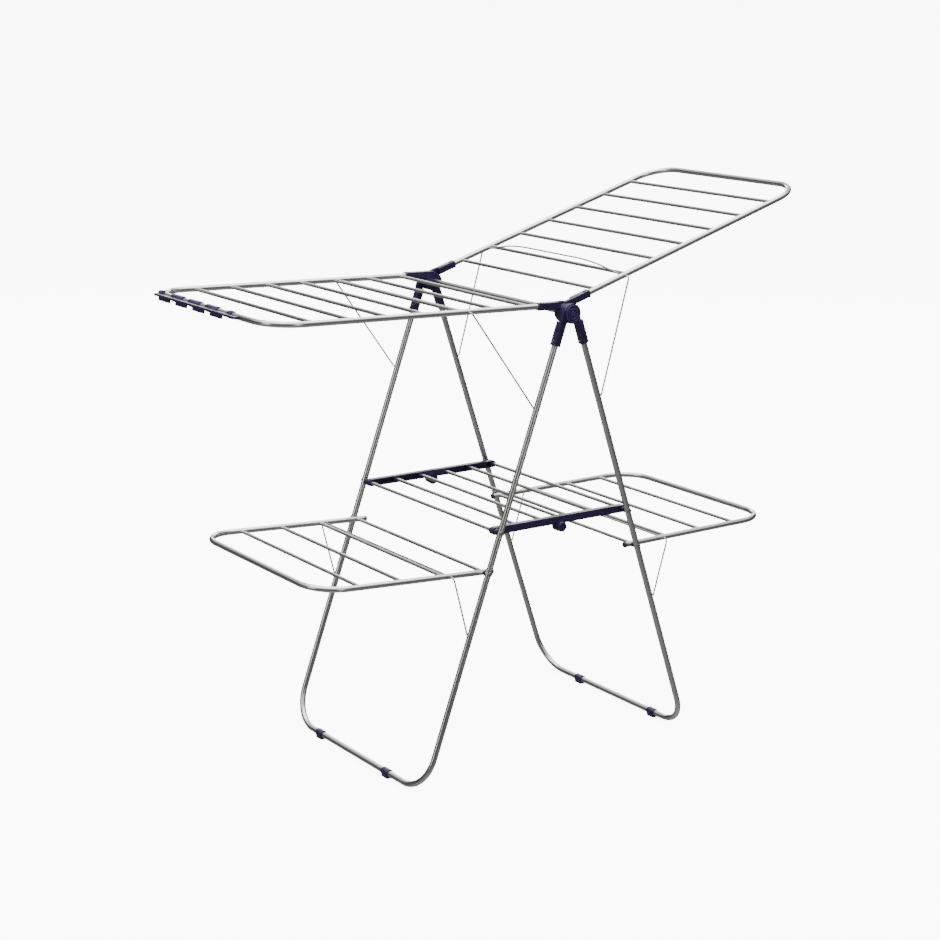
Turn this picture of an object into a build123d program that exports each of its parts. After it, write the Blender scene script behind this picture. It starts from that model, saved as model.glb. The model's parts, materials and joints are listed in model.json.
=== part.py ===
"""Gull-wing clothes drying rack: two folding U-shaped leg frames, two upper wings, two lower wings
and a folding middle shelf.  Millimetres, +Z up, Y along the hinge axle, the floor at Z = 0."""

import os
from math import cos, hypot, radians, sin, sqrt

from build123d import *

# ---------------------------------------------------------------- driving dimensions

HINGE_HEIGHT = 1036.0  # hinge axle above the floor
LEG_SPREAD = 19.14  # each leg frame's angle from the vertical, in degrees
LEG_OFFSET = 14.9  # leg centre line, beside the hinge axis
LEG_HALF_WIDTH = 275.0  # leg tube centre to the middle plane
LEG_CORNER = 80.0  # bend radius at the foot of a leg frame
LEG_RADIUS = 7.0
FOOT_CENTRE_HEIGHT = 12.0  # centre of the tube that lies along the floor

ARM_HALF_WIDTH = 257.5  # wing tube centre to the middle plane
WING_RADIUS = 6.5
TUBE_WALL = 0.8
ROD_RADIUS = 4.0

UPPER_OFFSET = 16.5  # upper wing plane, above the hinge axis
UPPER_REACH = 725.6  # hinge axis to the end bar's centre
UPPER_CORNER = 76.0
UPPER_ANGLE = {-1: 1.4, 1: 17.5}  # left wing nearly flat, right wing raised
UPPER_FIRST_ROD = 93.0
UPPER_ROD_PITCH = 88.9
UPPER_ROD_COUNT = 7

LOWER_PIVOT_HEIGHT = 484.3
LOWER_REACH = 418.2
LOWER_CORNER = 76.0
LOWER_STUB = 19.0  # arm beyond the pivot, towards the middle
LOWER_ANGLE = {-1: 3.3, 1: 0.5}
LOWER_ROD_PITCH = 104.6
LOWER_ROD_COUNT = 4

SHELF_HEIGHT = 571.0
SHELF_BAR_INSIDE = 243.5  # inner face of a shelf bar to the middle plane
SHELF_BAR_THICKNESS = 14.0
SHELF_BAR_DEPTH = 17.0
SHELF_HINGE_DROP = 14.5  # middle hinge below the bars' centre line
SHELF_HINGE_RADIUS = 12.5
SHELF_ROD_COUNT = 6
HALF_SHELF_RODS = 2  # between a half shelf's pivot and the middle hinge

STRUT_RADIUS = 2.0
STRUT_HALF_WIDTH = LEG_HALF_WIDTH  # the side wires run in the plane of the legs
STRUT_BEND = 9.0
UPPER_STRUT_HOLE = {-1: 259.0, 1: 174.5}  # along the upper arm, from the hinge axis
UPPER_STRUT_BOW = {-1: 0.0, 1: 20.0}  # of the middle of the wire, away from the wing
UPPER_STRUT_HOOK = 224.0  # along the leg, below the hinge
LOWER_STRUT_HOLE = 91.0
LOWER_STRUT_HOOK = 742.0
STRUT_TIP_GAP = 0.4  # between a strut's end and the leg's surface

KNUCKLE_RADIUS = 22.0
AXLE_RADIUS = 6.5
AXLE_END_RADIUS = 4.95
AXLE_HOLE_RADIUS = 5.0
LEG_SOCKET = 17.0  # square socket's side
LEG_SOCKET_END = 77.0
WING_SOCKET = 16.0
WING_SOCKET_END = {-1: 76.0, 1: 70.0}
SOCKET_START = 23.5
TUBE_START = 30.0

# Distances from the middle plane of the layers that make up a hinge, from the inside out.
LEFT_WING_LAYER = (247.5, 256.5)
RIGHT_WING_LAYER = (257.0, 266.0)
RIGHT_LEG_LAYER = (266.5, 275.3)
LEFT_LEG_LAYER = (275.8, 284.5)
HUB_CAP_THICKNESS = 3.0

HUB_CAP_RADIUS = 20.0
HUB_CAP_GROOVES = ((15.5, 13.0), (9.5, 6.5))  # outer and inner radius of each ring groove
HUB_CAP_GROOVE_DEPTH = 1.2
HUB_PLUG_LENGTH = 9.0
AXLE_WALL = 1.5
SOCKET_EDGE = 1.5  # rounding of a socket's long edges
RIVET_RADIUS = 1.6
RIVET_HEAD_RADIUS = 3.2
RIVET_HEAD_HEIGHT = 1.2
RIVET_INSET = 9.0

ROD_SEAT = 4.4  # a rod's end stops this far inside its tube's centre line
ROD_CAP_RADIUS = 5.2
ROD_CAP_HEIGHT = 1.0
SPACER_RADIUS = 7.0
HOOK_HOLE_RADIUS = 2.6
HOOK_HOLE_REACH = 8.0
BOW_START = 238.0  # where a bowed strut leaves the straight, from the middle plane
BOW_FULL = 150.0
BOW_RADII = [60.0, 480.0]

PLUG_DEPTH = 12.0
PLUG_LIP = 0.7
PLUG_HEAD = 5.5
PLUG_ROUNDING = 4.0

SHELF_LAP = 6.6  # thickness of a bar's half of the middle hinge
SHELF_ROD_SEAT = 9.0
SHELF_POCKET_RIB = 15.0
SHELF_POCKET_WALL = 2.5
SHELF_POCKET_DEPTH = 9.0
SHELF_KNOB_RADIUS = 11.5
SHELF_KNOB_HEIGHT = 9.5
SHELF_KNOB_CHAMFER = 1.5

CLIP_PITCH = 76.5
CLIP_SPAN = 2  # clips to each side of the middle one
CLIP_MIDDLE = 60.0
CLIP_LEDGE_NEAR = 8.0  # ledge past the middle of the nearest clip
CLIP_LEDGE_FAR = 42.0  # ledge past the middle of the farthest clip
CLIP_WIDTH = 48.0
CLIP_END_WIDTH = 14.0
CLIP_REACH = 17.0  # end bar's centre to the ledge's outer edge
CLIP_SHELL = 2.2
CLIP_LEDGE_HEIGHT = 5.0
CLIP_LEDGE_SINK = 0.5
CLIP_OPEN_SIDE = 7.0
CLIP_OPEN_DEPTH = 5.5

FOOT_CLIP_NEAR_END = 125.0
FOOT_CLIP_FAR_END = 158.0
FOOT_CLIP_WIDTH = 24.0
FOOT_CLIP_SHELL = 2.5
RUNNING_GAP = 0.05
WORKING_GAP = 0.5
WASHER_GAP = 0.4  # between a lower wing's arm and its spacer

# ---------------------------------------------------------------- derived dimensions

LEG_ANGLE = LEG_SPREAD - 90.0  # below the horizontal
SIDE_NAME = {-1: "left", 1: "right"}


def left_reach():
    """From the hinge axis to the outer edge of the left wing's clip strip."""
    slope = radians(UPPER_ANGLE[-1])
    edge_offset = UPPER_OFFSET - CLIP_LEDGE_HEIGHT / 2
    return (UPPER_REACH + CLIP_REACH) * cos(slope) - edge_offset * sin(slope)


def right_reach():
    """From the hinge axis to the outside of the right wing's end bar."""
    slope = radians(UPPER_ANGLE[1])
    return UPPER_REACH * cos(slope) - UPPER_OFFSET * sin(slope) + WING_RADIUS


HINGE_X = (left_reach() - right_reach()) / 2  # puts the origin under the middle of the whole rack


def leg_reach_at(height):
    """Distance along a leg's centre line, from beside the hinge axis down to the given height."""
    rise = HINGE_HEIGHT + LEG_OFFSET * sin(radians(LEG_SPREAD)) - height
    return rise / cos(radians(LEG_SPREAD))


def member_point(side, angle, along, offset, base=(0.0, HINGE_HEIGHT)):
    """X from the hinge axis, and Z, of a point on a member that leaves base at an angle."""
    slope = radians(angle)
    x = base[0] + along * cos(slope) - offset * sin(slope)
    z = base[1] + along * sin(slope) + offset * cos(slope)
    return side * x, z


def leg_point(side, along):
    return member_point(side, LEG_ANGLE, along, LEG_OFFSET)


LEG_REACH = leg_reach_at(FOOT_CENTRE_HEIGHT)
SHELF_PIVOT_X = leg_point(1, leg_reach_at(SHELF_HEIGHT))[0]
LOWER_PIVOT_X = leg_point(1, leg_reach_at(LOWER_PIVOT_HEIGHT))[0]
LOWER_BASE = (LOWER_PIVOT_X, LOWER_PIVOT_HEIGHT)
SHELF_BAR_OUTSIDE = SHELF_BAR_INSIDE + SHELF_BAR_THICKNESS
SHELF_HINGE_HEIGHT = SHELF_HEIGHT - SHELF_HINGE_DROP
SHELF_ROD_PITCH = 2 * SHELF_PIVOT_X / (SHELF_ROD_COUNT - 1)
LEG_INSIDE = LEG_HALF_WIDTH - LEG_RADIUS
LEG_OUTSIDE = LEG_HALF_WIDTH + LEG_RADIUS

# ---------------------------------------------------------------- planes


def member_plane(side, angle, base=(0.0, HINGE_HEIGHT)):
    """X along a member, away from its pivot; Z square to it, upwards or outwards."""
    slope = radians(angle)
    return Plane(
        origin=(HINGE_X + side * base[0], 0, base[1]),
        x_dir=(side * cos(slope), 0, sin(slope)),
        z_dir=(-side * sin(slope), 0, cos(slope)),
    )


def profile_plane(side, angle, base=(0.0, HINGE_HEIGHT), depth=0.0):
    """A member seen from its edge, at a depth in front of the middle plane (towards -Y)."""
    slope = radians(angle)
    plane = Plane(
        origin=(HINGE_X + side * base[0], 0, base[1]),
        x_dir=(side * cos(slope), 0, sin(slope)),
        z_dir=(0, -side, 0),
    )
    return plane.offset(side * depth)


def cross_plane(side, angle, along, offset, half_width):
    """Square across a member's front arm, at a distance along it."""
    x, z = member_point(side, angle, along, offset)
    slope = radians(angle)
    return Plane(
        origin=(HINGE_X + x, -half_width, z),
        x_dir=(0, 1, 0),
        z_dir=(side * cos(slope), 0, sin(slope)),
    )


def upright(depth=0.0):
    """An upright plane through the hinge axis, at a depth towards -Y."""
    return Plane(origin=(HINGE_X, -depth, 0), x_dir=(1, 0, 0), z_dir=(0, -1, 0))


# ---------------------------------------------------------------- shared shapes


def u_route(plane, start, reach, half_width, corner):
    """Centre line of a tube bent to a U that lies in a plane."""
    with BuildLine(plane) as centre_line:
        FilletPolyline(
            (start, -half_width),
            (reach, -half_width),
            (reach, half_width),
            (start, half_width),
            radius=corner,
        )
    return centre_line.line


def u_tube(plane, start, reach, half_width, corner, radius, holes):
    """A tube bent to a U, with cross holes given as (plane, radius, reach to each side)."""
    centre_line = u_route(plane, start, reach, half_width, corner)
    with BuildPart() as tube:
        with BuildSketch(Plane(origin=centre_line @ 0, z_dir=centre_line % 0)):
            Circle(radius)
            Circle(radius - TUBE_WALL, mode=Mode.SUBTRACT)
        sweep(path=centre_line)
        for hole_plane, hole_radius, hole_reach in holes:
            with BuildSketch(hole_plane):
                Circle(hole_radius)
            extrude(amount=hole_reach, both=True, mode=Mode.SUBTRACT)
    return tube


def rods(places, half_length):
    """Parallel thin-walled rods along Y, at places given as X from the hinge axis, and Z."""
    with BuildPart() as bars:
        with BuildSketch(upright()):
            with Locations(*places):
                Circle(ROD_RADIUS)
                Circle(ROD_RADIUS - TUBE_WALL, mode=Mode.SUBTRACT)
        extrude(amount=half_length, both=True)
    return bars


def along_y(place, radius, reach):
    """A cross hole along Y for u_tube, from the middle plane out to a reach on both sides."""
    return Plane(origin=(HINGE_X + place[0], 0, place[1]), z_dir=(0, -1, 0)), radius, reach


def far_twin(piece):
    """The far one of a pair, from the near one."""
    with BuildPart() as twin:
        add(piece.part.mirror(Plane.XZ))
    return twin


def pair(piece):
    """The near and far ones of a pair, as one group of separate solids."""
    with BuildPart() as both:
        add(piece.part)
        add(piece.part.mirror(Plane.XZ))
    return both


def save(piece, name):
    piece.part.label = name
    export_step(piece.part, f"parts/{name}.step")


# ---------------------------------------------------------------- hinge sockets


def rivet_plane(side, angle, offset, socket_end, half_width):
    """Across a socket, square to its outer face, near its mouth."""
    x, z = member_point(side, angle, socket_end - RIVET_INSET, offset)
    slope = radians(angle)
    return Plane(
        origin=(HINGE_X + x, -half_width, z),
        x_dir=(0, 1, 0),
        z_dir=(-side * sin(slope), 0, cos(slope)),
    )


def rivet_holes(side, angle, offset, socket_end, half_width):
    """Holes for u_tube under the rivets of its near and far sockets."""
    near = rivet_plane(side, angle, offset, socket_end, half_width)
    far = rivet_plane(side, angle, offset, socket_end, -half_width)
    return [(near, RIVET_RADIUS, LEG_SOCKET), (far, RIVET_RADIUS, LEG_SOCKET)]


def hub_piece(side, angle, layer, offset, socket, socket_end, half_width, tube_radius):
    """Near hinge knuckle with its square tube socket."""
    thickness = layer[1] - layer[0]
    mouth = cross_plane(side, angle, socket_end, offset, half_width)
    with BuildPart() as hub:
        with BuildSketch(profile_plane(side, angle, depth=layer[0])):
            Circle(KNUCKLE_RADIUS)
            with Locations((SOCKET_START / 2, offset)):
                Rectangle(SOCKET_START, socket)
        extrude(amount=thickness * side)
        with BuildSketch(mouth):
            RectangleRounded(socket, socket, SOCKET_EDGE)
        extrude(amount=SOCKET_START - socket_end)
        with BuildSketch(mouth):
            Circle(tube_radius)
        extrude(amount=TUBE_START - socket_end, mode=Mode.SUBTRACT)
        with BuildSketch(profile_plane(side, angle)):
            Circle(AXLE_HOLE_RADIUS)
        extrude(amount=side * LEFT_LEG_LAYER[1], mode=Mode.SUBTRACT)
        with BuildSketch(rivet_plane(side, angle, offset, socket_end, half_width)):
            Circle(RIVET_RADIUS)
        extrude(amount=socket, both=True, mode=Mode.SUBTRACT)
    return hub


def socket_rivets(side, angle, offset, socket, socket_end, half_width):
    """Rivets through both sockets and their tube, with a low round head at each end."""
    plane = rivet_plane(side, angle, offset, socket_end, half_width)
    with BuildPart() as rivet:
        with BuildSketch(plane):
            Circle(RIVET_RADIUS)
        extrude(amount=socket / 2 + RIVET_HEAD_HEIGHT, both=True)
        with BuildSketch(plane.offset(socket / 2)):
            Circle(RIVET_HEAD_RADIUS)
        extrude(amount=RIVET_HEAD_HEIGHT)
        with BuildSketch(plane.offset(-socket / 2)):
            Circle(RIVET_HEAD_RADIUS)
        extrude(amount=-RIVET_HEAD_HEIGHT)
    return pair(rivet)


# ---------------------------------------------------------------- leg frames


def leg_frame(side):
    """U-shaped tube: two legs and the bar along the floor."""
    holes = [
        along_y(leg_point(side, leg_reach_at(SHELF_HEIGHT)), ROD_RADIUS, LEG_OUTSIDE),
        along_y(leg_point(side, leg_reach_at(LOWER_PIVOT_HEIGHT)), ROD_RADIUS, LEG_OUTSIDE),
    ]
    holes += hook_holes(upper_strut_hole(side), leg_point(side, UPPER_STRUT_HOOK))
    holes += hook_holes(lower_point(side, LOWER_STRUT_HOLE), leg_point(side, LOWER_STRUT_HOOK))
    holes += rivet_holes(side, LEG_ANGLE, LEG_OFFSET, LEG_SOCKET_END, LEG_HALF_WIDTH)
    plane = member_plane(side, LEG_ANGLE).offset(LEG_OFFSET)
    return u_tube(plane, TUBE_START, LEG_REACH, LEG_HALF_WIDTH, LEG_CORNER, LEG_RADIUS, holes)


def strut_tip(hole, hook):
    """Where a strut's end meets the leg's surface, and its direction there, as X and Z."""
    length = hypot(hook[0] - hole[0], hook[1] - hole[1])
    direction = ((hook[0] - hole[0]) / length, (hook[1] - hole[1]) / length)
    leg_slope = radians(LEG_ANGLE)
    side = 1 if hole[0] > 0 else -1
    across = abs(direction[0] * side * sin(leg_slope) - direction[1] * cos(leg_slope))
    along = sqrt(1 - across**2)
    short = (LEG_RADIUS + STRUT_TIP_GAP + STRUT_RADIUS * along) / across
    return (hook[0] - short * direction[0], hook[1] - short * direction[1]), direction


def hook_holes(hole, hook):
    """Holes for u_tube in the near and far legs, where a strut's ends hook in."""
    (x, z), direction = strut_tip(hole, hook)
    planes = []
    for y in (-STRUT_HALF_WIDTH, STRUT_HALF_WIDTH):
        planes.append(Plane(origin=(HINGE_X + x, y, z), z_dir=(direction[0], 0, direction[1])))
    return [(plane, HOOK_HOLE_RADIUS, HOOK_HOLE_REACH) for plane in planes]


def foot_clips(side):
    """Two plastic saddles on the floor bar, each with a block that stands on the floor."""
    x = leg_point(side, LEG_REACH)[0]
    with BuildPart() as clips:
        for middle in (side * FOOT_CLIP_NEAR_END, -side * FOOT_CLIP_FAR_END):
            with BuildSketch(upright(-middle)):
                with Locations((x, FOOT_CENTRE_HEIGHT)):
                    Circle(LEG_RADIUS + FOOT_CLIP_SHELL)
                with Locations((x, FOOT_CENTRE_HEIGHT / 2)):
                    Rectangle(2 * LEG_RADIUS, FOOT_CENTRE_HEIGHT)
                with Locations((x, FOOT_CENTRE_HEIGHT)):
                    Circle(LEG_RADIUS, mode=Mode.SUBTRACT)
            extrude(amount=FOOT_CLIP_WIDTH / 2, both=True)
    return clips


def leg_place(side, height):
    """X from the hinge axis, and Z, where a leg's centre line passes a height."""
    return leg_point(side, leg_reach_at(height))


def rod_caps(side):
    """Caps on the outside of the legs, over the ends of the cross rods."""
    with BuildPart() as caps:
        for height in (SHELF_HEIGHT, LOWER_PIVOT_HEIGHT):
            with BuildSketch(upright(LEG_HALF_WIDTH)):
                with Locations(leg_place(side, height)):
                    Circle(ROD_CAP_RADIUS)
            extrude(amount=LEG_RADIUS + ROD_CAP_HEIGHT)
            with BuildSketch(upright(LEG_HALF_WIDTH)):
                with Locations(leg_place(side, height)):
                    Circle(ROD_RADIUS)
            extrude(amount=LEG_RADIUS, mode=Mode.SUBTRACT)
        with BuildSketch(cross_plane(side, LEG_ANGLE, 0, LEG_OFFSET, LEG_HALF_WIDTH)):
            Circle(LEG_RADIUS)
        extrude(amount=LEG_REACH, mode=Mode.SUBTRACT)
    return pair(caps)


def spacer(place, inside, outside):
    """Washers round a pivot rod, one at each end."""
    with BuildPart() as washer:
        with BuildSketch(upright(inside)):
            with Locations(place):
                Circle(SPACER_RADIUS)
                Circle(ROD_RADIUS, mode=Mode.SUBTRACT)
        extrude(amount=outside - inside)
    return pair(washer)


# ---------------------------------------------------------------- wings


def upper_wing_frame(side):
    angle = UPPER_ANGLE[side]
    rod_reach = ARM_HALF_WIDTH - ROD_SEAT
    holes = [along_y(place, ROD_RADIUS, rod_reach) for place in upper_rod_places(side)]
    holes.append(along_y(upper_strut_hole(side), STRUT_RADIUS + RUNNING_GAP, LEG_INSIDE))
    holes += rivet_holes(side, angle, UPPER_OFFSET, WING_SOCKET_END[side], ARM_HALF_WIDTH)
    plane = member_plane(side, angle).offset(UPPER_OFFSET)
    return u_tube(plane, TUBE_START, UPPER_REACH, ARM_HALF_WIDTH, UPPER_CORNER, WING_RADIUS, holes)


def upper_strut_hole(side):
    return member_point(side, UPPER_ANGLE[side], UPPER_STRUT_HOLE[side], UPPER_OFFSET)


def upper_rod_places(side):
    reaches = [UPPER_FIRST_ROD + i * UPPER_ROD_PITCH for i in range(UPPER_ROD_COUNT)]
    return [member_point(side, UPPER_ANGLE[side], reach, UPPER_OFFSET) for reach in reaches]


def lower_point(side, along):
    """X from the hinge axis, and Z, of a point on a lower wing's centre line."""
    return member_point(side, LOWER_ANGLE[side], along, 0, LOWER_BASE)


def lower_rod_places(side):
    return [lower_point(side, i * LOWER_ROD_PITCH) for i in range(1, LOWER_ROD_COUNT)]


def lower_wing_frame(side):
    rod_reach = ARM_HALF_WIDTH - ROD_SEAT
    holes = [along_y(place, ROD_RADIUS, rod_reach) for place in lower_rod_places(side)]
    holes.append(along_y(lower_point(side, 0), ROD_RADIUS + RUNNING_GAP, LEG_INSIDE))
    holes.append(along_y(lower_point(side, LOWER_STRUT_HOLE), STRUT_RADIUS + RUNNING_GAP, LEG_INSIDE))
    plane = member_plane(side, LOWER_ANGLE[side], LOWER_BASE)
    return u_tube(plane, -LOWER_STUB, LOWER_REACH, ARM_HALF_WIDTH, LOWER_CORNER, WING_RADIUS, holes)


def end_caps(side):
    """Rounded plastic plugs in the open ends of a lower wing's arms."""
    x, z = lower_point(side, -LOWER_STUB)
    mouth = Plane(
        origin=(HINGE_X + x, -ARM_HALF_WIDTH, z), z_dir=-member_plane(side, LOWER_ANGLE[side]).x_dir
    )
    with BuildPart() as caps:
        with BuildSketch(mouth):
            Circle(WING_RADIUS + PLUG_LIP)
        extrude(amount=PLUG_HEAD)
        fillet(caps.faces().sort_by(Axis(mouth.origin, mouth.z_dir))[-1].edges(), PLUG_ROUNDING)
        with BuildSketch(mouth):
            Circle(WING_RADIUS - TUBE_WALL)
        extrude(amount=-PLUG_DEPTH)
    return pair(caps)


def clip_strip():
    """Sock-clip strip that snaps over the left wing's end bar, with a ledge along its outside."""
    plane = profile_plane(-1, UPPER_ANGLE[-1])
    centre = (UPPER_REACH, UPPER_OFFSET)
    ledge_inside = WING_RADIUS - CLIP_LEDGE_SINK
    bar_plane = member_plane(-1, UPPER_ANGLE[-1]).offset(UPPER_OFFSET)
    bar_line = u_route(bar_plane, TUBE_START, UPPER_REACH, ARM_HALF_WIDTH, UPPER_CORNER)
    with BuildPart() as bar_space:
        with BuildSketch(Plane(origin=bar_line @ 0, z_dir=bar_line % 0)):
            Circle(WING_RADIUS)
        sweep(path=bar_line)
    with BuildPart() as strip:
        with BuildSketch(plane.offset(CLIP_MIDDLE + (CLIP_LEDGE_NEAR - CLIP_LEDGE_FAR) / 2)):
            with Locations((centre[0] + (CLIP_REACH + ledge_inside) / 2, centre[1])):
                Rectangle(CLIP_REACH - ledge_inside, CLIP_LEDGE_HEIGHT)
        extrude(amount=CLIP_SPAN * CLIP_PITCH + (CLIP_LEDGE_NEAR + CLIP_LEDGE_FAR) / 2, both=True)
        for i in range(-CLIP_SPAN, CLIP_SPAN + 1):
            width = CLIP_END_WIDTH if abs(i) == CLIP_SPAN else CLIP_WIDTH
            with BuildSketch(plane.offset(CLIP_MIDDLE + i * CLIP_PITCH)):
                with Locations(centre):
                    Circle(WING_RADIUS + CLIP_SHELL)
                with Locations((centre[0] - CLIP_OPEN_SIDE, centre[1] - CLIP_OPEN_DEPTH)):
                    Rectangle(2 * CLIP_OPEN_SIDE, 2 * CLIP_OPEN_DEPTH, mode=Mode.SUBTRACT)
            extrude(amount=width / 2, both=True)
        for i in range(-CLIP_SPAN, CLIP_SPAN):
            with BuildSketch(plane.offset(CLIP_MIDDLE + (i + 0.5) * CLIP_PITCH)):
                with Locations((centre[0] + CLIP_REACH - CLIP_SHELL, centre[1] - CLIP_LEDGE_HEIGHT)):
                    Rectangle(2 * CLIP_SHELL, 2 * CLIP_LEDGE_HEIGHT)
            extrude(amount=CLIP_WIDTH / 2, both=True)
        add(bar_space.part, mode=Mode.SUBTRACT)
    return strip


# ---------------------------------------------------------------- wire struts


def strut(side, hole, hook, slope=0.0, bow=0.0):
    """A U of wire: it turns in the arms at hole, and its ends meet the legs at hook."""
    bowed = (hole[0] - side * bow * sin(slope), hole[1] + bow * cos(slope))
    tip, _ = strut_tip(hole, hook)
    near_half = [
        (tip, -STRUT_HALF_WIDTH),
        (hole, -STRUT_HALF_WIDTH),
    ]
    radii = [STRUT_BEND]
    if bow:
        near_half += [(hole, -BOW_START), (bowed, -BOW_FULL)]
        radii += BOW_RADII
    route = near_half + [(place, -y) for place, y in reversed(near_half)]
    with BuildPart() as wire:
        with BuildLine() as centre_line:
            points = [(HINGE_X + place[0], y, place[1]) for place, y in route]
            FilletPolyline(*points, radius=radii + radii[::-1])
        with BuildSketch(Plane(origin=centre_line.line @ 0, z_dir=centre_line.line % 0)):
            Circle(STRUT_RADIUS)
        sweep()
    return wire


def upper_strut(side):
    hook = leg_point(side, UPPER_STRUT_HOOK)
    slope = radians(UPPER_ANGLE[side])
    return strut(side, upper_strut_hole(side), hook, slope, UPPER_STRUT_BOW[side])


def lower_strut(side):
    return strut(side, lower_point(side, LOWER_STRUT_HOLE), leg_point(side, LOWER_STRUT_HOOK))


# ---------------------------------------------------------------- middle shelf


def shelf_bar(side):
    """Near bar of one half of the shelf: it turns on the leg and meets its twin at the middle hinge."""
    pivot_radius = ROD_RADIUS + (RUNNING_GAP if side == -1 else 0)
    lap = (SHELF_BAR_INSIDE, SHELF_BAR_INSIDE + SHELF_LAP)
    if side == 1:
        lap = (SHELF_BAR_OUTSIDE - SHELF_LAP, SHELF_BAR_OUTSIDE)
    butt = WORKING_GAP / 2
    with BuildPart() as bar:
        with BuildSketch(upright(SHELF_BAR_INSIDE)):
            with Locations((side * (SHELF_PIVOT_X + butt) / 2, SHELF_HEIGHT)):
                Rectangle(SHELF_PIVOT_X - butt, SHELF_BAR_DEPTH)
            with Locations((side * SHELF_PIVOT_X, SHELF_HEIGHT)):
                Circle(SHELF_BAR_DEPTH / 2)
        extrude(amount=SHELF_BAR_THICKNESS)
        with BuildSketch(upright(SHELF_BAR_INSIDE)):
            with Locations((0, SHELF_HINGE_HEIGHT)):
                Circle(SHELF_HINGE_RADIUS + WORKING_GAP)
        extrude(amount=SHELF_BAR_THICKNESS, mode=Mode.SUBTRACT)
        with BuildSketch(upright(lap[0])):
            with Locations((0, SHELF_HINGE_HEIGHT)):
                Circle(SHELF_HINGE_RADIUS)
            with Locations((side * SHELF_HINGE_RADIUS / 2, SHELF_HINGE_HEIGHT + SHELF_HINGE_DROP / 2)):
                Rectangle(SHELF_HINGE_RADIUS - WORKING_GAP, SHELF_HINGE_DROP)
        extrude(amount=lap[1] - lap[0])
        with BuildSketch(upright(SHELF_BAR_INSIDE)):
            with Locations((side * SHELF_PIVOT_X, SHELF_HEIGHT)):
                Circle(pivot_radius)
        extrude(amount=SHELF_BAR_THICKNESS, mode=Mode.SUBTRACT)
        with BuildSketch(upright(SHELF_BAR_INSIDE)):
            with Locations((0, SHELF_HINGE_HEIGHT)):
                Circle(ROD_RADIUS + (RUNNING_GAP if side == 1 else 0))
        extrude(amount=SHELF_BAR_THICKNESS, mode=Mode.SUBTRACT)
        with BuildSketch(upright(SHELF_BAR_INSIDE)):
            with Locations(*half_shelf_rod_places(side)):
                Circle(ROD_RADIUS)
        extrude(amount=SHELF_ROD_SEAT, mode=Mode.SUBTRACT)
        with BuildSketch(upright(SHELF_BAR_INSIDE)):
            with Locations(*half_shelf_pocket_places(side)):
                Rectangle(SHELF_ROD_PITCH - SHELF_POCKET_RIB, SHELF_BAR_DEPTH - 2 * SHELF_POCKET_WALL)
        extrude(amount=SHELF_POCKET_DEPTH, mode=Mode.SUBTRACT)
    return bar


def half_shelf_rod_places(side):
    """The rods between a half shelf's pivot and the middle hinge."""
    return [(side * (i + 0.5) * SHELF_ROD_PITCH, SHELF_HEIGHT) for i in range(HALF_SHELF_RODS)]


def half_shelf_pocket_places(side):
    """Middles of the pockets between the rods on a bar's inner face."""
    return [(side * (i + 1) * SHELF_ROD_PITCH, SHELF_HEIGHT) for i in range(HALF_SHELF_RODS)]


def shelf_hinge_pin():
    """Near middle hinge pin, with the round knob outside the bars."""
    with BuildPart() as pin:
        with BuildSketch(upright(SHELF_BAR_INSIDE)):
            with Locations((0, SHELF_HINGE_HEIGHT)):
                Circle(ROD_RADIUS)
        extrude(amount=SHELF_BAR_THICKNESS + WORKING_GAP)
        with BuildSketch(upright(SHELF_BAR_OUTSIDE + WORKING_GAP)):
            with Locations((0, SHELF_HINGE_HEIGHT)):
                Circle(SHELF_KNOB_RADIUS)
        extrude(amount=SHELF_KNOB_HEIGHT)
        chamfer(pin.faces().sort_by(Axis.Y)[0].edges(), SHELF_KNOB_CHAMFER)
    return pin


# ---------------------------------------------------------------- hinge axle


def hinge_axle():
    """Tube between the hinges, turned down at both ends to run in the knuckles."""
    with BuildPart() as axle:
        with BuildSketch(upright()):
            with Locations((0, HINGE_HEIGHT)):
                Circle(AXLE_RADIUS)
        extrude(amount=LEFT_WING_LAYER[0] - WORKING_GAP, both=True)
        with BuildSketch(upright()):
            with Locations((0, HINGE_HEIGHT)):
                Circle(AXLE_END_RADIUS)
        extrude(amount=LEFT_LEG_LAYER[1], both=True)
        with BuildSketch(upright()):
            with Locations((0, HINGE_HEIGHT)):
                Circle(AXLE_END_RADIUS - AXLE_WALL)
        extrude(amount=LEFT_LEG_LAYER[1], both=True, mode=Mode.SUBTRACT)
    return axle


def hub_cap():
    """Round cap on the outer knuckle, with two raised rings and a plug into the axle."""
    with BuildPart() as cap:
        with BuildSketch(upright(LEFT_LEG_LAYER[1])):
            with Locations((0, HINGE_HEIGHT)):
                Circle(HUB_CAP_RADIUS)
        extrude(amount=HUB_CAP_THICKNESS)
        for outer, inner in HUB_CAP_GROOVES:
            with BuildSketch(upright(LEFT_LEG_LAYER[1] + HUB_CAP_THICKNESS)):
                with Locations((0, HINGE_HEIGHT)):
                    Circle(outer)
                    Circle(inner, mode=Mode.SUBTRACT)
            extrude(amount=-HUB_CAP_GROOVE_DEPTH, mode=Mode.SUBTRACT)
        with BuildSketch(upright(LEFT_LEG_LAYER[1])):
            with Locations((0, HINGE_HEIGHT)):
                Circle(AXLE_END_RADIUS - AXLE_WALL)
        extrude(amount=-HUB_PLUG_LENGTH)
    return cap


# ---------------------------------------------------------------- build and write

os.makedirs("parts", exist_ok=True)

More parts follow.
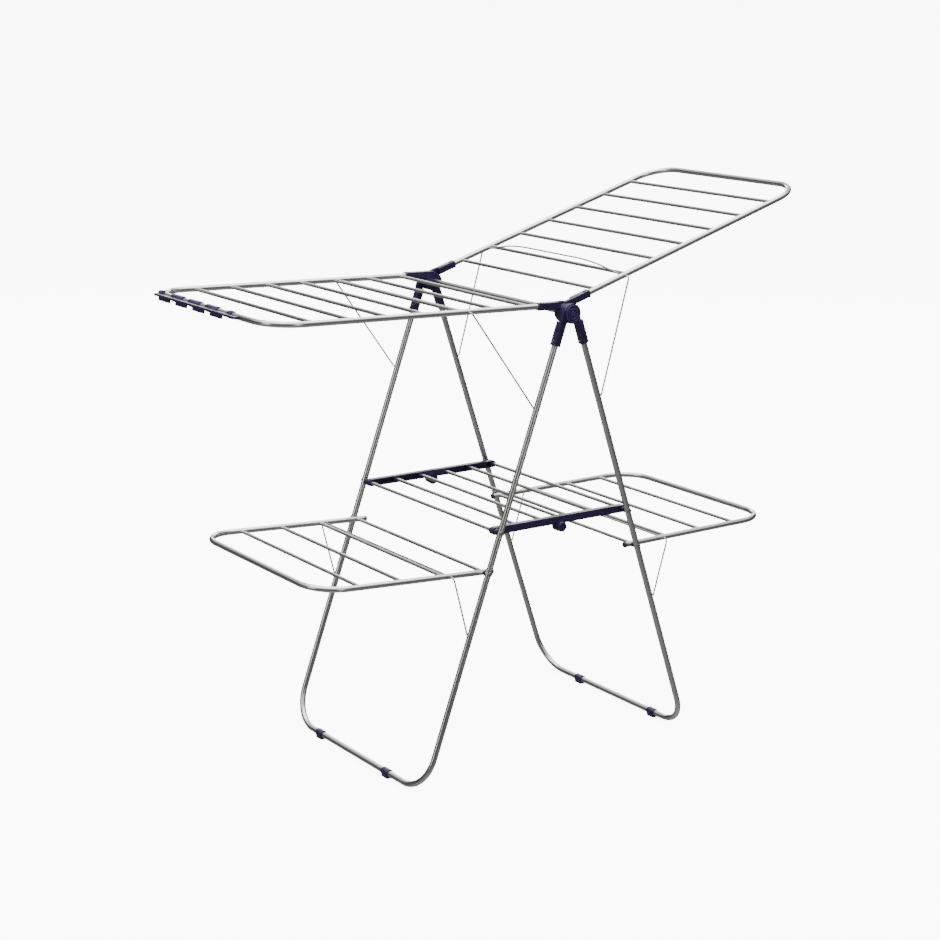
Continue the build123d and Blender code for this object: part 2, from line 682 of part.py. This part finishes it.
for side, word in SIDE_NAME.items():
    angle = UPPER_ANGLE[side]
    leg_layer = LEFT_LEG_LAYER if side == -1 else RIGHT_LEG_LAYER
    wing_layer = LEFT_WING_LAYER if side == -1 else RIGHT_WING_LAYER
    lower_place = leg_place(side, LOWER_PIVOT_HEIGHT)
    shelf_place = leg_place(side, SHELF_HEIGHT)

    save(leg_frame(side), f"{word}_leg_frame")
    leg_hub = hub_piece(
        side, LEG_ANGLE, leg_layer, LEG_OFFSET, LEG_SOCKET, LEG_SOCKET_END, LEG_HALF_WIDTH, LEG_RADIUS
    )
    save(leg_hub, f"{word}_leg_hub_near")
    save(far_twin(leg_hub), f"{word}_leg_hub_far")
    leg_rivets = socket_rivets(
        side, LEG_ANGLE, LEG_OFFSET, LEG_SOCKET, LEG_SOCKET_END, LEG_HALF_WIDTH
    )
    save(leg_rivets, f"{word}_leg_rivets")
    save(foot_clips(side), f"{word}_foot_clips")
    save(rod_caps(side), f"{word}_rod_caps")
    save(rods([lower_place], LEG_OUTSIDE), f"{word}_lower_pivot_rod")
    washer_inside = ARM_HALF_WIDTH + WING_RADIUS + WASHER_GAP
    save(spacer(lower_place, washer_inside, LEG_INSIDE), f"{word}_lower_spacers")

    save(upper_wing_frame(side), f"{word}_wing_frame")
    save(rods(upper_rod_places(side), ARM_HALF_WIDTH - ROD_SEAT), f"{word}_wing_rods")
    wing_hub = hub_piece(
        side, angle, wing_layer, UPPER_OFFSET, WING_SOCKET, WING_SOCKET_END[side], ARM_HALF_WIDTH, WING_RADIUS
    )
    save(wing_hub, f"{word}_wing_hub_near")
    save(far_twin(wing_hub), f"{word}_wing_hub_far")
    wing_rivets = socket_rivets(
        side, angle, UPPER_OFFSET, WING_SOCKET, WING_SOCKET_END[side], ARM_HALF_WIDTH
    )
    save(wing_rivets, f"{word}_wing_rivets")
    save(upper_strut(side), f"{word}_wing_strut")

    save(lower_wing_frame(side), f"{word}_lower_wing_frame")
    save(rods(lower_rod_places(side), ARM_HALF_WIDTH - ROD_SEAT), f"{word}_lower_wing_rods")
    save(end_caps(side), f"{word}_lower_end_caps")
    save(lower_strut(side), f"{word}_lower_strut")

    bar = shelf_bar(side)
    save(bar, f"{word}_shelf_bar_near")
    save(far_twin(bar), f"{word}_shelf_bar_far")
    save(rods(half_shelf_rod_places(side), SHELF_BAR_INSIDE + SHELF_ROD_SEAT), f"{word}_shelf_rods")

left_shelf_place = leg_place(-1, SHELF_HEIGHT)
right_shelf_place = leg_place(1, SHELF_HEIGHT)
save(rods([left_shelf_place], LEG_OUTSIDE), "left_shelf_pivot_rod")
save(spacer(left_shelf_place, SHELF_BAR_OUTSIDE + WORKING_GAP, LEG_INSIDE), "left_shelf_spacers")
save(rods([right_shelf_place], LEG_INSIDE - WORKING_GAP), "right_shelf_pivot_rod")
save(spacer(right_shelf_place, SHELF_BAR_OUTSIDE, LEG_INSIDE - WORKING_GAP), "right_shelf_spacers")
save(pair(shelf_hinge_pin()), "shelf_hinge_pins")
save(hinge_axle(), "hinge_axle")
save(pair(hub_cap()), "hub_caps")
save(clip_strip(), "sock_clip_strip")
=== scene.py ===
"""Looks of the clothes drying rack: steel and plastic finishes, moulded hinge details, studio and camera."""

import json
import math

import bmesh
import bpy
from mathutils import Matrix, Vector

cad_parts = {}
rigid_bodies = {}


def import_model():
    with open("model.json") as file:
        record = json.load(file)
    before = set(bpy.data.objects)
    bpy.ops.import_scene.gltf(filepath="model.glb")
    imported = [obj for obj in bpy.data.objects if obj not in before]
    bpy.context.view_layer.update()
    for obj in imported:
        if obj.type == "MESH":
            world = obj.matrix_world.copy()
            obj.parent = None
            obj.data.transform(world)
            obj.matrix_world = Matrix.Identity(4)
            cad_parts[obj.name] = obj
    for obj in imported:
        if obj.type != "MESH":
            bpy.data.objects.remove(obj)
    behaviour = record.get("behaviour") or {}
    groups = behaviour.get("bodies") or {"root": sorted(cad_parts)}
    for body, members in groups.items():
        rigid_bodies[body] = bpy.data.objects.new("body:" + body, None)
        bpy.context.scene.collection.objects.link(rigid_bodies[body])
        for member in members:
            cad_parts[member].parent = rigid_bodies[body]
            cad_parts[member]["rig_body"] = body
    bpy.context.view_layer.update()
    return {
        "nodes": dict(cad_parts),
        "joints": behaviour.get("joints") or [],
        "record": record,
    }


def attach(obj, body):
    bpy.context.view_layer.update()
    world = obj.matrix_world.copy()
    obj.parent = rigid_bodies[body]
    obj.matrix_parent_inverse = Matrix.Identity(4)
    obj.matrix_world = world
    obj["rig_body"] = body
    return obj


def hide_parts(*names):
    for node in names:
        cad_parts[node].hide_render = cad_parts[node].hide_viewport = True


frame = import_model()
nodes = frame["nodes"]

# ---------------------------------------------------------------- node helpers


class Graph:
    """A small wrapper for building a node material."""

    def __init__(self, name):
        self.material = bpy.data.materials.new(name)
        self.material.use_nodes = True
        self.nodes = self.material.node_tree.nodes
        self.links = self.material.node_tree.links
        self.shader = self.nodes["Principled BSDF"]

    def node(self, kind, **settings):
        made = self.nodes.new(kind)
        for key, value in settings.items():
            setattr(made, key, value)
        return made

    def link(self, source, target):
        self.links.new(source, target)

    def set(self, **values):
        for name, value in values.items():
            self.shader.inputs[name.replace("_", " ")].default_value = value

    def object_space(self, turn=0.0, scale=(1, 1, 1)):
        """Object coordinates, turned about Y and then scaled."""
        place = self.node("ShaderNodeTexCoord")
        turned = self.node("ShaderNodeMapping")
        turned.inputs["Rotation"].default_value = (0, turn, 0)
        self.link(place.outputs["Object"], turned.inputs["Vector"])
        scaled = self.node("ShaderNodeMapping")
        scaled.inputs["Scale"].default_value = scale
        self.link(turned.outputs["Vector"], scaled.inputs["Vector"])
        return scaled.outputs["Vector"]

    def off_middle(self):
        """Distance from the middle plane, to either side."""
        place = self.node("ShaderNodeTexCoord")
        parts = self.node("ShaderNodeSeparateXYZ")
        self.link(place.outputs["Object"], parts.inputs["Vector"])
        side = self.node("ShaderNodeMath", operation="ABSOLUTE")
        self.link(parts.outputs["Y"], side.inputs[0])
        return side.outputs[0]

    def noise(self, vector, scale, detail=3.0, roughness=0.55):
        made = self.node("ShaderNodeTexNoise")
        made.inputs["Scale"].default_value = scale
        made.inputs["Detail"].default_value = detail
        made.inputs["Roughness"].default_value = roughness
        self.link(vector, made.inputs["Vector"])
        return made.outputs["Fac"]

    def ramp(self, factor, low, high, start=0.3, end=0.7):
        made = self.node("ShaderNodeValToRGB")
        made.color_ramp.elements[0].position = start
        made.color_ramp.elements[0].color = (*low, 1)
        made.color_ramp.elements[1].position = end
        made.color_ramp.elements[1].color = (*high, 1)
        self.link(factor, made.inputs["Fac"])
        return made.outputs["Color"]

    def spread(self, factor, low, high, start=0.3, end=0.7):
        made = self.node("ShaderNodeMapRange")
        made.inputs["From Min"].default_value = start
        made.inputs["From Max"].default_value = end
        made.inputs["To Min"].default_value = low
        made.inputs["To Max"].default_value = high
        self.link(factor, made.inputs["Value"])
        return made.outputs["Result"]

    def mix(self, factor, first, second):
        made = self.node("ShaderNodeMix")
        made.data_type = "FLOAT"
        self.link(factor, made.inputs[0])
        self.link(first, made.inputs[2])
        self.link(second, made.inputs[3])
        return made.outputs[0]

    def bump(self, height, strength, distance):
        made = self.node("ShaderNodeBump")
        made.inputs["Strength"].default_value = strength
        made.inputs["Distance"].default_value = distance
        self.link(height, made.inputs["Height"])
        self.link(made.outputs["Normal"], self.shader.inputs["Normal"])


# ---------------------------------------------------------------- materials


LINES_ACROSS = 900  # grinding lines to a metre, across them and along them
LINES_ALONG = 4
PATCH_SCALE = 38.0
PATCH_SHARE = 0.35
LINE_BUMP = 0.006
LINE_DEPTH = 0.0002
BEND_BLEND = 0.02
# the darkest and the lightest shade, and the least and the most roughness
TUBE_SHADES = ((0.54, 0.53, 0.515), (0.66, 0.65, 0.635))
ROD_SHADES = ((0.46, 0.455, 0.445), (0.56, 0.55, 0.54))
WIRE_SHADES = ((0.30, 0.30, 0.30), (0.38, 0.38, 0.38))
RIVET_SHADES = ((0.42, 0.42, 0.42), (0.56, 0.56, 0.56))
TUBE_ROUGH = (0.19, 0.28)
ROD_ROUGH = (0.24, 0.34)
WIRE_ROUGH = (0.42, 0.55)


def steel(name, shades, rough, slope=0.0, bend_at=None):
    """Bright ground stainless steel, with the grinding lines along the tube.

    The lines follow Y, and beyond bend_at from the middle they follow the arm, at a slope in degrees."""
    g = Graph(name)
    turn = math.radians(slope)
    across = g.noise(g.object_space(turn, (LINES_ACROSS, LINES_ALONG, LINES_ACROSS)), 1.0, 4.0)
    lines = across
    if bend_at:
        along = g.noise(g.object_space(turn, (LINES_ALONG, LINES_ACROSS, LINES_ACROSS)), 1.0, 4.0)
        past_bend = g.spread(g.off_middle(), 0, 1, bend_at - BEND_BLEND, bend_at + BEND_BLEND)
        lines = g.mix(past_bend, across, along)
    patches = g.noise(g.object_space(), PATCH_SCALE, 2.0)
    g.link(g.ramp(lines, *shades), g.shader.inputs["Base Color"])
    both = g.node("ShaderNodeMath", operation="MULTIPLY_ADD")
    both.inputs[1].default_value = PATCH_SHARE
    g.link(patches, both.inputs[0])
    g.link(lines, both.inputs[2])
    g.link(g.spread(both.outputs[0], *rough, 0.4, 0.95), g.shader.inputs["Roughness"])
    g.bump(lines, LINE_BUMP, LINE_DEPTH)
    g.set(Metallic=1.0)
    return g.material


LAND_HIGHLIGHT_GAIN = 1.7  # how much lighter the raised land is painted than the rest: a painted highlight
LAND_HIGHLIGHT_BLEND = 0.0002
GRAIN_SCALE = 2600.0
GRAIN_BUMP = 0.12
GRAIN_DEPTH = 0.00012
FLOW_SCALE = 70.0


def plastic(name, dark, light, rough, painted_highlight_from=None):
    """Moulded plastic with a fine spark texture and slight flow marks.

    With a distance given, the raised land beyond it from the middle plane is painted lighter as a painted
    highlight, and the grooves within it keep the dark colour as painted shade."""
    g = Graph(name)
    flow = g.noise(g.object_space(scale=(1, 0.4, 1)), FLOW_SCALE)
    fine = g.noise(g.object_space(), GRAIN_SCALE, 2.0)
    colour = g.ramp(flow, dark, light)
    if painted_highlight_from:
        # painted shade in the grooves and a painted highlight on the raised land, by distance from the
        # middle plane; this takes the place of the flow marks
        land_highlight_mask = g.spread(g.off_middle(), 0, 1, painted_highlight_from - LAND_HIGHLIGHT_BLEND, painted_highlight_from + LAND_HIGHLIGHT_BLEND)
        colour = g.ramp(land_highlight_mask, dark, tuple(LAND_HIGHLIGHT_GAIN * shade for shade in light), 0, 1)
    g.link(colour, g.shader.inputs["Base Color"])
    g.link(g.spread(fine, rough - 0.04, rough + 0.06), g.shader.inputs["Roughness"])
    g.bump(fine, GRAIN_BUMP, GRAIN_DEPTH)
    g.set(IOR=1.5)
    return g.material


CAP_GROOVE = 0.0012
INDIGO_DARK = (0.013, 0.008, 0.040)
INDIGO_LIGHT = (0.025, 0.016, 0.070)
PLUG_DARK = (0.012, 0.012, 0.020)
PLUG_LIGHT = (0.024, 0.023, 0.036)
MATTE = 0.34
SEMI_GLOSS = 0.24
indigo = plastic("indigo_moulded", INDIGO_DARK, INDIGO_LIGHT, MATTE)
CAP_FACE = max(abs(vertex.co.y) for vertex in nodes["hub_caps"].data.vertices)
# hub caps: grooves painted dark as painted shade, raised land painted light as a painted highlight
indigo_cap = plastic(
    "indigo_semi_gloss_painted_shade", INDIGO_DARK, INDIGO_LIGHT, SEMI_GLOSS, painted_highlight_from=CAP_FACE - CAP_GROOVE / 2
)
indigo_pin = plastic("indigo_pin", INDIGO_DARK, INDIGO_LIGHT, SEMI_GLOSS)
plug_dark = plastic("dark_plug", PLUG_DARK, PLUG_LIGHT, 0.42)
rod_steel = steel("rod_steel", ROD_SHADES, ROD_ROUGH)
wire_steel = steel("wire_steel", WIRE_SHADES, WIRE_ROUGH)
rivet_steel = steel("rivet_steel", RIVET_SHADES, ROD_ROUGH)
FRAME_SLOPES = {
    "left_leg_frame": 70.9,
    "right_leg_frame": -70.9,
    "left_wing_frame": -1.4,
    "right_wing_frame": 17.5,
    "left_lower_wing_frame": -3.3,
    "right_lower_wing_frame": 0.5,
}
BEND_AT = 0.235
frame_steel = {
    node: steel(f"{node}_steel", TUBE_SHADES, TUBE_ROUGH, slope, BEND_AT)
    for node, slope in FRAME_SLOPES.items()
}


def finish_for(node):
    if node in frame_steel:
        return frame_steel[node]
    if "strut" in node:
        return wire_steel
    if "rivets" in node or "rod_caps" in node:
        return rivet_steel
    if "end_caps" in node or "spacers" in node:
        return plug_dark
    if node.endswith("rods") or node.endswith("rod") or node == "hinge_axle":
        return rod_steel
    if node == "hub_caps":
        return indigo_cap
    if node == "shelf_hinge_pins":
        return indigo_pin
    return indigo


for node_name, node_object in nodes.items():
    finish = finish_for(node_name)
    if not node_object.material_slots:
        node_object.data.materials.append(finish)
    for material_slot in node_object.material_slots:
        material_slot.material = finish

# ---------------------------------------------------------------- moulded pieces

MM = 0.001
HINGE = Vector(next(j for j in frame["joints"] if j["name"] == "leg_fold")["pos_m"])
MOULD_EDGE = {"foot_clips": 0.5, "end_caps": 0.3, "strip": 0.35, "pins": 0.4, "caps": 0.4, "bar": 0.7}


def edge_for(node):
    for word, width in MOULD_EDGE.items():
        if word in node:
            return width * MM
    return 0.8 * MM


def smooth_by_angle(mesh_object, width, segments=3):
    """Rounded edges with a soft highlight, as a mould leaves them."""
    for polygon in mesh_object.data.polygons:
        polygon.use_smooth = True
    bevel = mesh_object.modifiers.new("rounded_edges", "BEVEL")
    bevel.width = width
    bevel.segments = segments
    bevel.limit_method = "ANGLE"
    bevel.angle_limit = math.radians(38)
    bevel.use_clamp_overlap = True
    bevel.harden_normals = True


def moulded(node):
    """A plastic piece with moulded edges in place of its CAD node."""
    mesh = nodes[node].data.copy()
    mesh.name = f"{node}_moulded"
    work = bmesh.new()
    work.from_mesh(mesh)
    bmesh.ops.remove_doubles(work, verts=work.verts, dist=0.00001)
    bmesh.ops.dissolve_limit(
        work, angle_limit=math.radians(0.6), verts=work.verts, edges=work.edges
    )
    work.to_mesh(mesh)
    work.free()
    piece = bpy.data.objects.new(f"{node}_moulded", mesh)
    bpy.context.scene.collection.objects.link(piece)
    for material_slot in piece.material_slots:
        material_slot.material = finish_for(node)
    smooth_by_angle(piece, edge_for(node))
    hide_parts(node)
    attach(piece, nodes[node]["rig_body"])
    return piece


slot_names = {row["node"]: row["material_slot"] for row in frame["record"]["subparts"]}
plastic_slots = ("indigo_plastic", "indigo_cap_plastic", "dark_plug_plastic")
plastic_nodes = [node for node in sorted(nodes) if slot_names[node] in plastic_slots]
moulded_pieces = {node: moulded(node) for node in plastic_nodes}


def member_matrix(side, slope, depth, near):
    """Member space to the row frame: X along the member from the hinge, Y outwards, Z up off it."""
    c, s = math.cos(math.radians(slope)), math.sin(math.radians(slope))
    out = -1 if near else 1
    return Matrix(
        (
            (side * c, 0, -side * s, HINGE.x),
            (0, out, 0, out * depth),
            (s, 0, c, HINGE.z),
            (0, 0, 0, 1),
        )
    )


def rounded_square(size, corner, steps=5):
    """Corner points of a square with rounded corners, about the origin."""
    points = []
    inner = size / 2 - corner
    for quarter in range(4):
        start = math.radians(90 * quarter)
        cx = inner * (1 if quarter in (0, 3) else -1)
        cy = inner * (1 if quarter in (0, 1) else -1)
        for i in range(steps + 1):
            turn = start + math.radians(90) * i / steps
            points.append((cx + corner * math.cos(turn), cy + corner * math.sin(turn)))
    return points


def ring_solid(name, rings, matrix):
    """A closed band skinned through rings of points, the last one joined to the first."""
    work = bmesh.new()
    rows = [[work.verts.new(point) for point in ring] for ring in rings]
    count = len(rows[0])
    for here, there in zip(rows, rows[1:] + rows[:1]):
        for i in range(count):
            j = (i + 1) % count
            work.faces.new((here[i], here[j], there[j], there[i]))
    bmesh.ops.recalc_face_normals(work, faces=work.faces)
    mesh = bpy.data.meshes.new(name)
    work.to_mesh(mesh)
    work.free()
    mesh.transform(matrix)
    if matrix.determinant() < 0:
        mesh.flip_normals()
    made = bpy.data.objects.new(name, mesh)
    bpy.context.scene.collection.objects.link(made)
    return made


def socket_collar(node, slope, side, near, offset, size, end, half_width):
    """The thicker lip round a socket's mouth."""
    proud, length, corner = 0.35 * MM, 4.0 * MM, 1.7 * MM
    rings = []
    for x, grow in ((end - length, -1), (end - length, proud / MM), (end, proud / MM), (end, -1)):
        square = rounded_square(size + 2 * grow * MM, corner)
        rings.append([(x, y, z + offset) for y, z in square])
    made = ring_solid(f"{node}_lip", rings, member_matrix(side, slope, half_width, near))
    made.data.materials.append(indigo)
    smooth_by_angle(made, 0.25 * MM, 2)
    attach(made, nodes[node]["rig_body"])
    return made


# places of the socket mouths along their members, from the hinge
LEG_SLOPE = -70.86
LEG_SOCKET = {"offset": 14.9 * MM, "size": 17 * MM, "end": 77 * MM, "half_width": 275 * MM}
WING_SOCKET = {"offset": 16.5 * MM, "size": 16 * MM, "half_width": 257.5 * MM}
WING_SLOPE = {"left": 1.4, "right": 17.5}
WING_END = {"left": 76 * MM, "right": 70 * MM}
for word, side in (("left", -1), ("right", 1)):
    for place, near in (("near", True), ("far", False)):
        socket_collar(f"{word}_leg_hub_{place}", LEG_SLOPE, side, near, **LEG_SOCKET)
        wing_hub = f"{word}_wing_hub_{place}"
        socket_collar(wing_hub, WING_SLOPE[word], side, near, end=WING_END[word], **WING_SOCKET)

# ---------------------------------------------------------------- floor, light and camera

PAPER = (0.95, 0.95, 0.95, 1.0)
PAPER_GLOW = 9.0


def paper():
    g = Graph("studio_paper")
    g.set(Base_Color=PAPER, Roughness=0.9, Emission_Color=PAPER, Emission_Strength=PAPER_GLOW)
    g.shader.inputs["Specular IOR Level"].default_value = 0.1
    return g.material


def paper_bowl():
    """White paper that lies on the floor and turns up into a round wall, alike from every side."""
    floor_radius, bend, top, steps, turns = 9.0, 5.0, 16.0, 16, 96
    profile = [(floor_radius / 2, 0.0), (floor_radius, 0.0)]
    for i in range(1, steps + 1):
        turn = math.radians(90) * i / steps
        profile.append((floor_radius + bend * math.sin(turn), bend * (1 - math.cos(turn))))
    profile.append((floor_radius + bend, top))
    work = bmesh.new()
    rows = []
    for radius, height in profile:
        places = [math.tau * i / turns for i in range(turns)]
        ring = [(radius * math.cos(t), radius * math.sin(t), height) for t in places]
        rows.append([work.verts.new(point) for point in ring])
    work.faces.new(rows[0])
    for here, there in zip(rows, rows[1:]):
        for i in range(turns):
            j = (i + 1) % turns
            work.faces.new((here[j], here[i], there[i], there[j])).smooth = True
    mesh = bpy.data.meshes.new("studio_bowl")
    work.to_mesh(mesh)
    work.free()
    made = bpy.data.objects.new("studio_bowl", mesh)
    made.data.materials.append(paper())
    made.visible_glossy = False
    made.visible_diffuse = False
    made.visible_shadow = False
    bpy.context.scene.collection.objects.link(made)
    return made


paper_bowl()


def soft_box(name, place, target, width, height, power):
    light = bpy.data.lights.new(name, "AREA")
    light.shape = "RECTANGLE"
    light.size = width
    light.size_y = height
    light.energy = power
    made = bpy.data.objects.new(name, light)
    made.location = place
    made.rotation_euler = (Vector(target) - Vector(place)).to_track_quat("-Z", "Y").to_euler()
    bpy.context.scene.collection.objects.link(made)
    return made


MIDDLE = (0, 0, 0.6)
soft_box("overhead", (0, 0, 4.6), MIDDLE, 6.0, 4.0, 330)
soft_box("left_front", (-5.5, -0.4, 2.0), MIDDLE, 1.6, 4.0, 48)
soft_box("right_front", (-0.3, -5.5, 2.0), MIDDLE, 1.3, 4.0, 34)
soft_box("behind", (3.5, 4.9, 2.9), MIDDLE, 6.0, 1.4, 170)

world = bpy.data.worlds.new("studio")
world.use_nodes = True
bpy.context.scene.world = world
sky_nodes = world.node_tree.nodes
sky_links = world.node_tree.links
sky = sky_nodes["Background"]
sky_place = sky_nodes.new("ShaderNodeTexCoord")
sky_parts = sky_nodes.new("ShaderNodeSeparateXYZ")
sky_links.new(sky_place.outputs["Generated"], sky_parts.inputs["Vector"])
sky_ramp = sky_nodes.new("ShaderNodeValToRGB")
sky_range = sky_nodes.new("ShaderNodeMapRange")
sky_range.inputs["From Min"].default_value = -1.0
sky_range.inputs["From Max"].default_value = 1.0
sky_links.new(sky_parts.outputs["Z"], sky_range.inputs["Value"])
sky_links.new(sky_range.outputs["Result"], sky_ramp.inputs["Fac"])
SKY_STOPS = ((0.0, 0.42), (0.30, 0.20), (0.46, 0.09), (0.66, 0.11), (0.80, 1.1), (1.0, 1.7))
elements = sky_ramp.color_ramp.elements
while len(elements) < len(SKY_STOPS):
    elements.new(0.5)
for element, (position, grey) in zip(elements, SKY_STOPS):
    element.position = position
    element.color = (grey, grey, grey, 1)
sky_links.new(sky_ramp.outputs["Color"], sky.inputs["Color"])
sky.inputs["Strength"].default_value = 1.0

CAMERA_PLACE = (-2.652, -3.701, 1.767)
CAMERA_AZIMUTH = -35.205
CAMERA_DOWN = 13.984
CAMERA_ROLL = 0.665
SENSOR = 36.0
LENS = 78.09

camera_data = bpy.data.cameras.new("camera")
camera_data.sensor_width = SENSOR
camera_data.lens = LENS
camera_data.clip_end = 200
camera = bpy.data.objects.new("camera", camera_data)
bpy.context.scene.collection.objects.link(camera)
camera.matrix_world = (
    Matrix.Translation(CAMERA_PLACE)
    @ Matrix.Rotation(math.radians(CAMERA_AZIMUTH), 4, "Z")
    @ Matrix.Rotation(math.radians(90 - CAMERA_DOWN), 4, "X")
    @ Matrix.Rotation(math.radians(CAMERA_ROLL), 4, "Z")
)
bpy.context.scene.camera = camera
